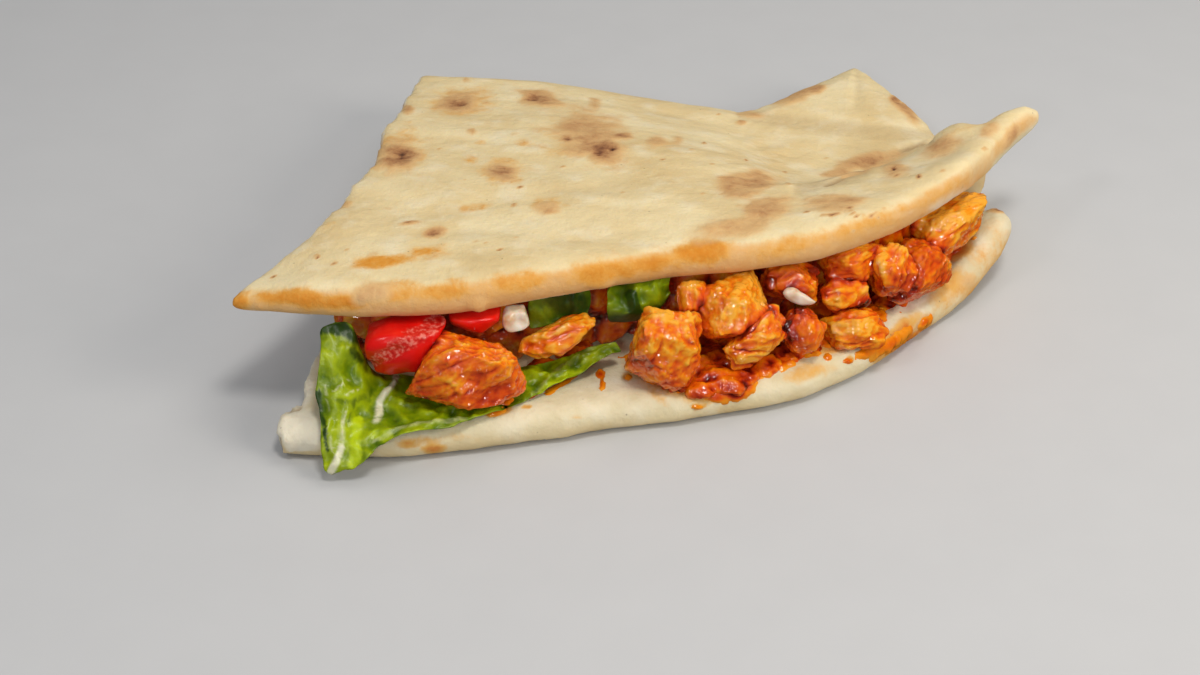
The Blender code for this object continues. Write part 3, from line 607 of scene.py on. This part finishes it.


# Sauce over pale meat: red-brown in the hollows, amber on the crests, under a wet coat with small glints.
# Painted light makes the tops brighter and painted shade darkens where pieces touch.
meat_material, tree, inputs, where = new_material("sauced_chicken")
height, golden, crevice = (add_node(tree, "ShaderNodeAttribute", {"attribute_name": name}, take=2)
                           for name in ("height", "golden", "crevice"))
fine = add_node(tree, "ShaderNodeTexNoise", {"Scale": grain_of(1.54), "Detail": 4.0}, {"Vector": where})
broad = add_node(tree, "ShaderNodeTexNoise", {"Scale": grain_of(6.7), "Detail": 4.0, "Distortion": 0.6},
                 {"Vector": where})
tone = add_node(tree, "ShaderNodeMath", {"operation": "MULTIPLY_ADD", 1: 0.75}, {0: golden, 2: height})
for layer, weight in ((fine, 0.7), (broad, 1.5), (height, 0.8), (crevice, -0.9)):
    tone = add_node(tree, "ShaderNodeMath", {"operation": "MULTIPLY_ADD", 1: weight},
                    {0: layer, 2: tone})
share = add_node(tree, "ShaderNodeMapRange", {"From Min": 1.15, "From Max": 2.9}, {"Value": tone})
meat = add_node(tree, "ShaderNodeValToRGB", {"stops": [
    (0.0, "#4A0A00"), (0.16, "#881A00"), (0.34, "#BC3200"), (0.52, "#DA5000"),
    (0.72, "#EA7000"), (0.9, "#F09004"), (1.0, "#F4AA30")]}, {"Fac": share})
tree.links.new(meat, inputs["Base Color"])
inputs["Roughness"].default_value = 0.45
inputs["Specular IOR Level"].default_value = 0.3
inputs["Coat Weight"].default_value = 1.0
inputs["Coat Roughness"].default_value = 0.09
inputs["Coat IOR"].default_value = 1.85
inputs["Subsurface Weight"].default_value = 0.05
inputs["Subsurface Radius"].default_value = (1.0, 0.35, 0.1)
inputs["Subsurface Scale"].default_value = 0.001
rough_skin = add_node(tree, "ShaderNodeBump", {"Strength": 1.0, "Distance": 0.0006}, {"Height": broad})
tree.links.new(rough_skin, inputs["Normal"])
drops = add_node(tree, "ShaderNodeTexNoise", {"Scale": grain_of(3), "Detail": 0.5, "Distortion": 0.8},
                 {"Vector": where})
wet_skin = add_node(tree, "ShaderNodeBump", {"Strength": 1.0, "Distance": 0.0028}, {"Height": drops})
tree.links.new(wet_skin, inputs["Coat Normal"])

# Where pieces touch, sauce pools redder and painted shade darkens them, so each piece looks for its
# neighbours.
touching = {}
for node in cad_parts:
    if node != "bread":
        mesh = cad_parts[node].data
        touching[node] = ([v.co[:] for v in mesh.vertices], [tuple(p.vertices) for p in mesh.polygons])
for number, (node, (axis, fibre, gold)) in enumerate(CHICKEN_LOOKS.items()):
    corners, faces = [], []
    for other, (other_corners, other_faces) in touching.items():
        if other != node:
            faces += [tuple(index + len(corners) for index in face) for face in other_faces]
            corners += other_corners
    others = BVHTree.FromPolygons(corners, faces)
    piece = remeshed(new_piece("diced_" + node, cad_copy(node)), CHICKEN_VOXEL, CHICKEN_SMOOTHINGS)
    height, crevice = diced_meat(piece, others, axis, fibre, 20 + 6 * number)
    points, normals = skin_of(piece.data)
    raised = ramp(points[:, 2], points[:, 2].min(), points[:, 2].max())
    paint(piece.data, "height", height)
    paint(piece.data, "crevice", crevice)
    # Painted light: faces turned up and the higher parts of each piece are painted more golden, the lower
    # parts darker and redder.
    facing_up = ramp(normals[:, 2], -0.6, 0.5)
    paint(piece.data, "golden", (gold + 0.15) * (0.3 + 0.4 * facing_up + 0.5 * raised))
    piece.data.materials.append(meat_material)
    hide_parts(node)
    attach(piece, "root")

# Packed filling
# More chicken and chilli sauce, pressed together by the folded bread, behind the pieces that show.
# The knife went through it at the left, so it shows cut dice there with sauce in the seams.

DICE_MM = 9.0
FILLING_VOXEL = 0.0009
FILLING_SMOOTHINGS = 4
SEAM_DEPTH = 0.0013
GRAIN_RELIEF = 0.0005
filling = new_piece("packed_filling", cad_copy("chicken_filling"))
remeshed(filling, FILLING_VOXEL, FILLING_SMOOTHINGS)
points, normals = skin_of(filling.data)
seams, tints = [], []
for p in points.tolist():
    distances, cells = noise.voronoi(Vector(p) * (1000 / DICE_MM))
    seams.append(distances[1] - distances[0])
    tints.append(noise.cell(cells[0] * 3.7))
seam = ramp(np.array(seams), 0.0, 0.28)
grains = noise_field(points, 2.4, 91, 3)
points = points + normals * (-SEAM_DEPTH * (1 - seam) + GRAIN_RELIEF * grains)[:, None]
move_points(filling.data, points)
# The seams are painted darker: sauce lies in them, and painted shade.
paint(filling.data, "height", 0.35 + 0.35 * seam + 0.35 * grains)
paint(filling.data, "golden", 0.1 + 0.45 * np.abs(np.array(tints)))
paint(filling.data, "crevice", 0.55 - 0.4 * seam)
filling.data.materials.append(meat_material)
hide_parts("chicken_filling")
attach(filling, "root")

# Sauce
# Chilli sauce that ran out of the filling onto the inner face of the bottom leaf, about 1 mm deep.
# It is a film raised from the bread's own skin, thick in the puddle and thin where it ran and dripped.

SAUCE_DEPTH = 0.0011
SAUCE_LUMP = 0.0003
# How far under the bread's skin the film lies where it fades out, at its edge and at its underside.
FADE_SUNK = 0.00025
EDGE_SUNK = 0.0003
SAUCE_SUNK = 0.0007
LUMP_VOXEL = 0.0005
LUMP_SMOOTHINGS = 3
LUMP_FLATNESS = 0.45
LUMP_RISE, STRING_RISE, CRUMB_RISE = 0.0007, 0.0004, 0.00025
SAUCE_MARKS = [
    (668, 378, 34, 12, 25, 1.0), (690, 372, 50, 18, 14, 1.0), (722, 384, 34, 20, 0, 1.1),
    (735, 394, 15, 9, 0, 1.1), (715, 397, 16, 7, 10, 1.0), (748, 384, 12, 12, -30, 0.9),
    (690, 390, 20, 6, 20, 0.8), (772, 360, 46, 15, -16, 1.1), (655, 370, 34, 14, 25, 1.0),
    (790, 352, 28, 12, -15, 1.0), (820, 342, 26, 9, -15, 0.8), (600, 374, 6, 5, 0, 0.9),
    (602, 384, 3, 8, 0, 0.9), (815, 353, 6, 4, 0, 0.8), (828, 357, 5, 5, 0, 0.8),
    (848, 361, 6, 3, 0, 0.8), (628, 377, 4, 4, 0, 0.7), (697, 407, 8, 3, 0, 0.7),
    (892, 343, 32, 8, -34, 0.8), (870, 352, 18, 8, -20, 0.7), (925, 322, 10, 5, -45, 0.9),
    (497, 411, 12, 5, -20, 0.8), (950, 243, 24, 12, -25, 0.8), (700, 345, 60, 30, 0, 1.0),
    (760, 325, 60, 34, 0, 1.0), (850, 300, 60, 30, -20, 1.0), (560, 385, 30, 5, -30, 0.5),
]
points, normals = skin_of(bread.data)
wet = photo_marks(points, normals, bread_solid, SAUCE_MARKS) * np.clip(inner * 2, 0, 1)
shape = bmesh.new()
shape.from_mesh(bread.data)
shape.verts.ensure_lookup_table()
bmesh.ops.delete(shape, geom=[f for f in shape.faces if not any(wet[v.index] > 0.02 for v in f.verts)],
                 context="FACES")
bmesh.ops.subdivide_edges(shape, edges=shape.edges[:], cuts=1, use_grid_fill=True)
shape.normal_update()
shape.verts.index_update()
points = np.array([v.co[:] for v in shape.verts])
normals = np.array([v.normal[:] for v in shape.verts])
ragged = 0.35 * noise_field(points, 4, 61) + 0.25 * noise_field(points, 1.6, 62)
wet = photo_marks(points, normals, bread_solid, SAUCE_MARKS, ragged)
depth = SAUCE_DEPTH * ramp(wet, 0.1, 0.9) - FADE_SUNK
depth += SAUCE_LUMP * noise_field(points, 2.2, 63, 3) * ramp(wet, 0.3, 0.8)
boundary = np.array([v.is_boundary for v in shape.verts])
depth[boundary] = -EDGE_SUNK
source = shape.verts.layers.int.new("source")
for vertex in shape.verts:
    vertex[source] = vertex.index
raised = bmesh.ops.extrude_face_region(shape, geom=shape.faces[:], use_keep_orig=True)["geom"]
raised = {part for part in raised if isinstance(part, bmesh.types.BMVert)}
for vertex in shape.verts:
    index = vertex[source]
    vertex.co = points[index] + normals[index] * (depth[index] if vertex in raised else -SAUCE_SUNK)
bmesh.ops.recalc_face_normals(shape, faces=shape.faces[:])
film = new_piece("chilli_sauce_film", shape)
points, normals = skin_of(film.data)
move_points(film.data, points)
film.data.polygons.foreach_set("use_smooth", [True] * len(film.data.polygons))
wet = photo_marks(points, normals, bread_solid, SAUCE_MARKS)
paint(film.data, "height", ramp(wet, 0.5, 1.25))

# Thick sauce with minced scraps fills the gaps between the front pieces: drops, each at a pixel with a
# radius in millimetres, flattened, merged and made lumpy.
DROPS = [
    (704, 366, 6.0), (716, 378, 5.0), (732, 382, 4.5), (722, 362, 6.5), (744, 374, 4.0),
    (764, 366, 4.0), (786, 355, 4.5), (806, 349, 4.0), (658, 372, 4.0), (676, 382, 4.0),
    (700, 388, 4.0), (778, 340, 7.0), (812, 330, 6.0), (846, 330, 5.0), (868, 318, 5.0),
    (890, 300, 5.0), (915, 282, 5.0), (745, 350, 7.0), (690, 350, 7.0), (640, 362, 3.5),
    (520, 392, 4.5), (545, 372, 5.0), (575, 352, 5.0), (940, 262, 5.0), (955, 246, 4.5),
    (500, 400, 3.5),
]
shape = bmesh.new()
for u, v, radius in DROPS:
    spot = bread_solid.ray_cast(CAMERA_SPOT, photo_ray(u, v))[0]
    drop = bmesh.ops.create_icosphere(shape, subdivisions=3, radius=radius / 1000)["verts"]
    for vertex in drop:
        vertex.co = spot + Vector((vertex.co.x, vertex.co.y, vertex.co.z * LUMP_FLATNESS))
lumps = remeshed(new_piece("chilli_sauce_lumps", shape), LUMP_VOXEL, LUMP_SMOOTHINGS)
points, normals = skin_of(lumps.data)
rough = noise_field(points, 3.0, 64, 3)
strings = 1 - 2 * np.abs(noise_field(points, (5, 2.2, 2.2), 65, 2))
crumbs = noise_field(points, 1.3, 66, 2)
relief = LUMP_RISE * rough + STRING_RISE * strings + CRUMB_RISE * crumbs
move_points(lumps.data, points + normals * relief[:, None])
paint(lumps.data, "height", 0.8 - 0.5 * rough - 0.3 * strings - 0.2 * crumbs)

# Wet chilli sauce: orange where it is thin and deep red-brown where it is deep, with rippled glints.
sauce_material, tree, inputs, where = new_material("wet_chilli_sauce")
height = add_node(tree, "ShaderNodeAttribute", {"attribute_name": "height"}, take=2)
fine = add_node(tree, "ShaderNodeTexNoise", {"Scale": grain_of(2), "Detail": 4.0}, {"Vector": where})
broad = add_node(tree, "ShaderNodeTexNoise", {"Scale": grain_of(5.9), "Detail": 3.0}, {"Vector": where})
tone = add_node(tree, "ShaderNodeMath", {"operation": "MULTIPLY_ADD", 1: 1.2}, {0: broad, 2: height})
share = add_node(tree, "ShaderNodeMapRange", {"From Min": 0.3, "From Max": 1.75}, {"Value": tone})
wet_colour = add_node(tree, "ShaderNodeValToRGB", {"stops": [
    (0.0, "#F0A428"), (0.3, "#EA8200"), (0.55, "#DA5800"),
    (0.75, "#B63200"), (0.9, "#861400"), (1.0, "#5E0C00")]}, {"Fac": share})
tree.links.new(wet_colour, inputs["Base Color"])
inputs["Roughness"].default_value = 0.4
inputs["Specular IOR Level"].default_value = 0.3
inputs["Coat Weight"].default_value = 1.0
inputs["Coat Roughness"].default_value = 0.1
inputs["Coat IOR"].default_value = 1.55
ripples = add_node(tree, "ShaderNodeMath", {"operation": "MULTIPLY_ADD", 1: 0.5}, {0: fine, 2: broad})
wet_skin = add_node(tree, "ShaderNodeBump", {"Strength": 0.8, "Distance": 0.0006}, {"Height": ripples})
tree.links.new(wet_skin, inputs["Normal"])
tree.links.new(wet_skin, inputs["Coat Normal"])
for piece in (film, lumps):
    piece.data.materials.append(sauce_material)
    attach(piece, "root")

# Tomato
# Two wedges of ripe tomato: taut shiny skin outside, and paler grainy flesh where the knife went.
# Both are smoothed from the part's wedges, with the flesh a little sunk behind the skin.

TOMATO_VOXEL = 0.00045
TOMATO_SMOOTHINGS = 14
TAUT_SWELL, FLESH_SINK, PULP_GRAIN = 0.00035, 0.0004, 0.0002
TOMATO_FLESH = stroke(((368, 366, 6), (400, 345, 11), (440, 322, 12)), 1.0)

# Taut skin is evenly red with a sharp shine; the cut flesh is grainy, with pale wet cells.
tomato_material, tree, inputs, where = new_material("ripe_tomato")
flesh = add_node(tree, "ShaderNodeAttribute", {"attribute_name": "flesh"}, take=2)
fine = add_node(tree, "ShaderNodeTexNoise", {"Scale": grain_of(1.11), "Detail": 3.0}, {"Vector": where})
broad = add_node(tree, "ShaderNodeTexNoise", {"Scale": grain_of(6.7), "Detail": 2.0}, {"Vector": where})
skin = add_node(tree, "ShaderNodeValToRGB",
                {"stops": [(0.3, "#CA0A04"), (0.55, "#E21109"), (0.75, "#EA2814")]}, {"Fac": broad})
pulp = add_node(tree, "ShaderNodeValToRGB",
                {"stops": [(0.35, "#C00E0A"), (0.5, "#D42E22"), (0.66, "#E6786A")]}, {"Fac": fine})
amount = mark_amount(tree, flesh, fine, 0.6, 0.3, 0.7)
tree.links.new(add_node(tree, "ShaderNodeMix", {"data_type": "RGBA"},
                        {0: amount, 6: skin, 7: pulp}, take=2), inputs["Base Color"])
inputs["Roughness"].default_value = 0.3
inputs["Specular IOR Level"].default_value = 0.35
inputs["Coat Weight"].default_value = 0.25
inputs["Coat Roughness"].default_value = 0.05
inputs["Subsurface Weight"].default_value = 0.1
inputs["Subsurface Radius"].default_value = (1.0, 0.15, 0.1)
inputs["Subsurface Scale"].default_value = 0.0015
tree.links.new(add_node(tree, "ShaderNodeBump", {"Strength": 0.25, "Distance": 0.0003},
                        {"Height": fine}), inputs["Normal"])
for node in ("tomato_01", "tomato_02"):
    piece = remeshed(new_piece(node + "_wedge", cad_copy(node)), TOMATO_VOXEL, TOMATO_SMOOTHINGS)
    points, normals = skin_of(piece.data)
    solid = BVHTree.FromPolygons(points.tolist(), [tuple(p.vertices) for p in piece.data.polygons])
    flesh = photo_marks(points, normals, solid, TOMATO_FLESH, 0.3 * noise_field(points, 3, 71))
    flesh = np.maximum(flesh, ramp(normals[:, 1], 0.2, 0.6))
    wrinkles = TAUT_SWELL * noise_field(points, 9, 72, 2) - FLESH_SINK * flesh
    wrinkles += PULP_GRAIN * flesh * noise_field(points, 1.1, 73, 2)
    move_points(piece.data, points + normals * wrinkles[:, None])
    paint(piece.data, "flesh", flesh)
    piece.data.materials.append(tomato_material)
    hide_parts(node)
    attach(piece, "root")

# Onion
# Two small pieces of raw onion, milky and moist, caught between the chicken and the leaf.
# Each is its node smoothed, with the slight dents of a chopped layer.

ONION_VOXEL = 0.00035
ONION_SMOOTHINGS = 10
ONION_DENT = 0.0004

# Raw onion is milky and lets light in, with a stain of sauce in places.
onion_material, tree, inputs, where = new_material("raw_onion")
cloud = add_node(tree, "ShaderNodeTexNoise", {"Scale": grain_of(3.8), "Detail": 3.0}, {"Vector": where})
tree.links.new(add_node(tree, "ShaderNodeValToRGB",
                        {"stops": [(0.3, "#CDA478"), (0.5, "#E0D0B8"), (0.7, "#F0E8DA")]},
                        {"Fac": cloud}), inputs["Base Color"])
inputs["Roughness"].default_value = 0.3
inputs["Coat Weight"].default_value = 0.3
inputs["Subsurface Weight"].default_value = 0.4
inputs["Subsurface Scale"].default_value = 0.002
for node in ("onion_01", "onion_02"):
    piece = remeshed(new_piece(node + "_shred", cad_copy(node)), ONION_VOXEL, ONION_SMOOTHINGS)
    points, normals = skin_of(piece.data)
    move_points(piece.data, points + normals * (ONION_DENT * noise_field(points, 4, 81, 2))[:, None])
    piece.data.materials.append(onion_material)
    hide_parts(node)
    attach(piece, "root")

# Lettuce
# Three crumpled pieces of green leaf lettuce, 0.9 mm thick, under and behind the front chicken.
# Each is its node's sheet made fine and crumpled by one field of noise, so both faces move alike.

# Leaves under the bread get painted shade, darker than the one that hangs out.
LEAF_SHADES = {"lettuce_1": 0.0, "lettuce_2": 0.45, "lettuce_3": 0.4}
# The big leaf's right end narrows over its last 14 mm.
PINCH = 0.45
PINCH_LENGTH = 0.014
# No crumple carries the leaf below this height, where it lies on the bread.
CRUMPLE_FLOOR = 0.0095
FOLD_REACH, BLISTER_REACH, RIB_RISE = 0.0012, 0.0008, 0.0006
# Ribs with two painted highlight streaks, lines of painted shade, and young yellow-green parts: lines
# through pixels with half widths, and a strength.
LETTUCE_RIBS_AND_HIGHLIGHTS = [
    (((397, 377, 3), (388, 391, 4), (379, 402, 4.5), (376, 421, 5)), 0.95),
    (((343, 448, 4.5), (338, 460, 5), (332, 474, 4)), 1.05),
    (((331, 438, 4), (333, 452, 4)), 0.5),
    (((347, 413, 3), (345, 432, 4), (342, 450, 4)), 0.6),
    # These two strokes are painted highlights: pale shiny streaks, raised like ribs.
    (((350, 380, 2), (342, 386, 2.5), (334, 392, 2)), 0.55),
    (((346, 397, 2), (356, 392, 3)), 0.55),
    (((326, 382, 1.6), (329, 410, 2), (326, 436, 1.6)), 0.45),
    (((377, 442, 3), (396, 431, 4), (416, 425, 3), (470, 420, 3)), 0.4),
    (((530, 395, 4), (560, 370, 4), (600, 345, 4), (618, 325, 3)), 0.3),
]
LETTUCE_SHADE_LINES = [
    (((316, 334, 4), (330, 330, 6), (345, 329, 7), (357, 341, 8)), 1.0),
    (((352, 352, 5), (362, 362, 4)), 0.8),
    (((321, 392, 3), (318, 412, 5), (323, 428, 4), (329, 452, 3)), 1.0),
    (((338, 402, 4), (352, 404, 4), (362, 398, 5)), 0.6),
    (((352, 424, 2.5), (357, 398, 2.5)), 0.6),
    (((632, 296, 9), (634, 312, 9)), 1.6),
    (((560, 300, 24), (590, 305, 14)), 0.9),
    (((545, 384, 3), (575, 366, 4), (606, 345, 4)), 0.5),
]
LETTUCE_YOUNG = [
    (((361, 420, 6), (357, 446, 7), (352, 466, 6)), 1.0),
    (((376, 436, 5), (400, 440, 6), (440, 434, 5)), 0.7),
    (((384, 384, 5), (366, 410, 5)), 0.4),
    (((540, 392, 5), (580, 372, 6), (610, 335, 7)), 0.6),
]

# Fresh leaf is waxy and pale along its ribs; painted light makes its blisters and crests yellow-green,
# painted shade makes its folds and the parts under the bread deep green, and a few pale streaks are
# painted highlights.
lettuce_material, tree, inputs, where = new_material("green_leaf_lettuce")
rib = add_node(tree, "ShaderNodeAttribute", {"attribute_name": "rib"}, take=2)
shade = add_node(tree, "ShaderNodeAttribute", {"attribute_name": "shade"}, take=2)
broad = add_node(tree, "ShaderNodeTexNoise", {"Scale": grain_of(9), "Detail": 4.0}, {"Vector": where})
fine = add_node(tree, "ShaderNodeTexNoise", {"Scale": grain_of(1.67), "Detail": 3.0}, {"Vector": where})
crest = add_node(tree, "ShaderNodeAttribute", {"attribute_name": "crest"}, take=2)
young = add_node(tree, "ShaderNodeAttribute", {"attribute_name": "young"}, take=2)
tone = add_node(tree, "ShaderNodeMath", {"operation": "MULTIPLY_ADD", 1: 0.5}, {0: fine, 2: crest})
tone = add_node(tree, "ShaderNodeMath", {"operation": "MULTIPLY_ADD", 1: 0.7}, {0: broad, 2: tone})
share = add_node(tree, "ShaderNodeMapRange", {"From Min": 0.62, "From Max": 1.95}, {"Value": tone})
colour = add_node(tree, "ShaderNodeValToRGB", {"stops": [
    (0.0, "#2A4400"), (0.25, "#587400"), (0.5, "#829600"), (0.75, "#A2B402"), (1.0, "#C6CE38")]},
    {"Fac": share})
for layer, tint in ((young, "#B2C60A"), (shade, "#28420A"), (rib, "#D8D6B4")):
    amount = mark_amount(tree, layer, fine, 0.5, 0.15, 0.95)
    colour = add_node(tree, "ShaderNodeMix", {"data_type": "RGBA", 7: linear(tint)},
                      {0: amount, 6: colour}, take=2)
tree.links.new(colour, inputs["Base Color"])
inputs["Roughness"].default_value = 0.38
inputs["Specular IOR Level"].default_value = 0.5
inputs["Subsurface Weight"].default_value = 0.1
inputs["Subsurface Radius"].default_value = (0.5, 1.0, 0.1)
inputs["Subsurface Scale"].default_value = 0.001
height = add_node(tree, "ShaderNodeMath", {"operation": "MULTIPLY_ADD", 1: 0.5}, {0: fine, 2: broad})
tree.links.new(add_node(tree, "ShaderNodeBump", {"Strength": 0.6, "Distance": 0.0006},
                        {"Height": height}), inputs["Normal"])
for node, dark in LEAF_SHADES.items():
    piece = new_piece(node + "_leaf", cad_copy(node))
    smoother = piece.modifiers.new("Fine", "SUBSURF")
    smoother.levels = smoother.render_levels = 2
    apply_modifiers(piece)
    piece.data.polygons.foreach_set("use_smooth", [True] * len(piece.data.polygons))
    points, normals = skin_of(piece.data)
    folds = 1 - 2 * np.abs(noise_field(points, (7, 9, 9), 91, 3))
    blisters = noise_field(points, 3.0, 94, 2)
    push = np.stack([noise_field(points, 9, 92, 2), -0.7 * folds, folds], axis=1) * FOLD_REACH
    push += np.outer(blisters, (0.1, -0.4, 0.5)) * BLISTER_REACH
    moved = points + push
    moved[:, 2] = np.maximum(moved[:, 2], np.minimum(points[:, 2], CRUMPLE_FLOOR))
    if node == "lettuce_1":
        end = points[:, 0].max()
        tip = points[points[:, 0] > end - 0.006].mean(axis=0)
        pinch = PINCH * ramp(points[:, 0], end - PINCH_LENGTH, end)
        moved[:, 1:] += pinch[:, None] * (tip - moved)[:, 1:]
    # Painted light and shade: the crests of the crumples lighter, the folds darker.
    paint(piece.data, "crest", 0.5 + 0.3 * folds + 0.3 * blisters)
    solid = BVHTree.FromPolygons(points.tolist(), [tuple(p.vertices) for p in piece.data.polygons])
    ragged = 0.4 * noise_field(points, 5, 97, 2)
    for layer, lines in (("rib", LETTUCE_RIBS_AND_HIGHLIGHTS), ("shade", LETTUCE_SHADE_LINES), ("young", LETTUCE_YOUNG)):
        marks = [mark for line, strength in lines for mark in stroke(line, strength)]
        cover = photo_marks(points, normals, solid, marks, ragged)
        if layer == "shade":
            # Faces turned down are painted darker as well, as shade.
            cover = np.maximum(cover, dark + 0.5 * ramp(-normals[:, 2], 0.1, 0.6))
        if layer == "rib":
            moved += normals * (RIB_RISE * cover)[:, None]
        paint(piece.data, layer, cover)
    move_points(piece.data, moved)
    piece.data.materials.append(lettuce_material)
    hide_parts(node)
    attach(piece, "root")
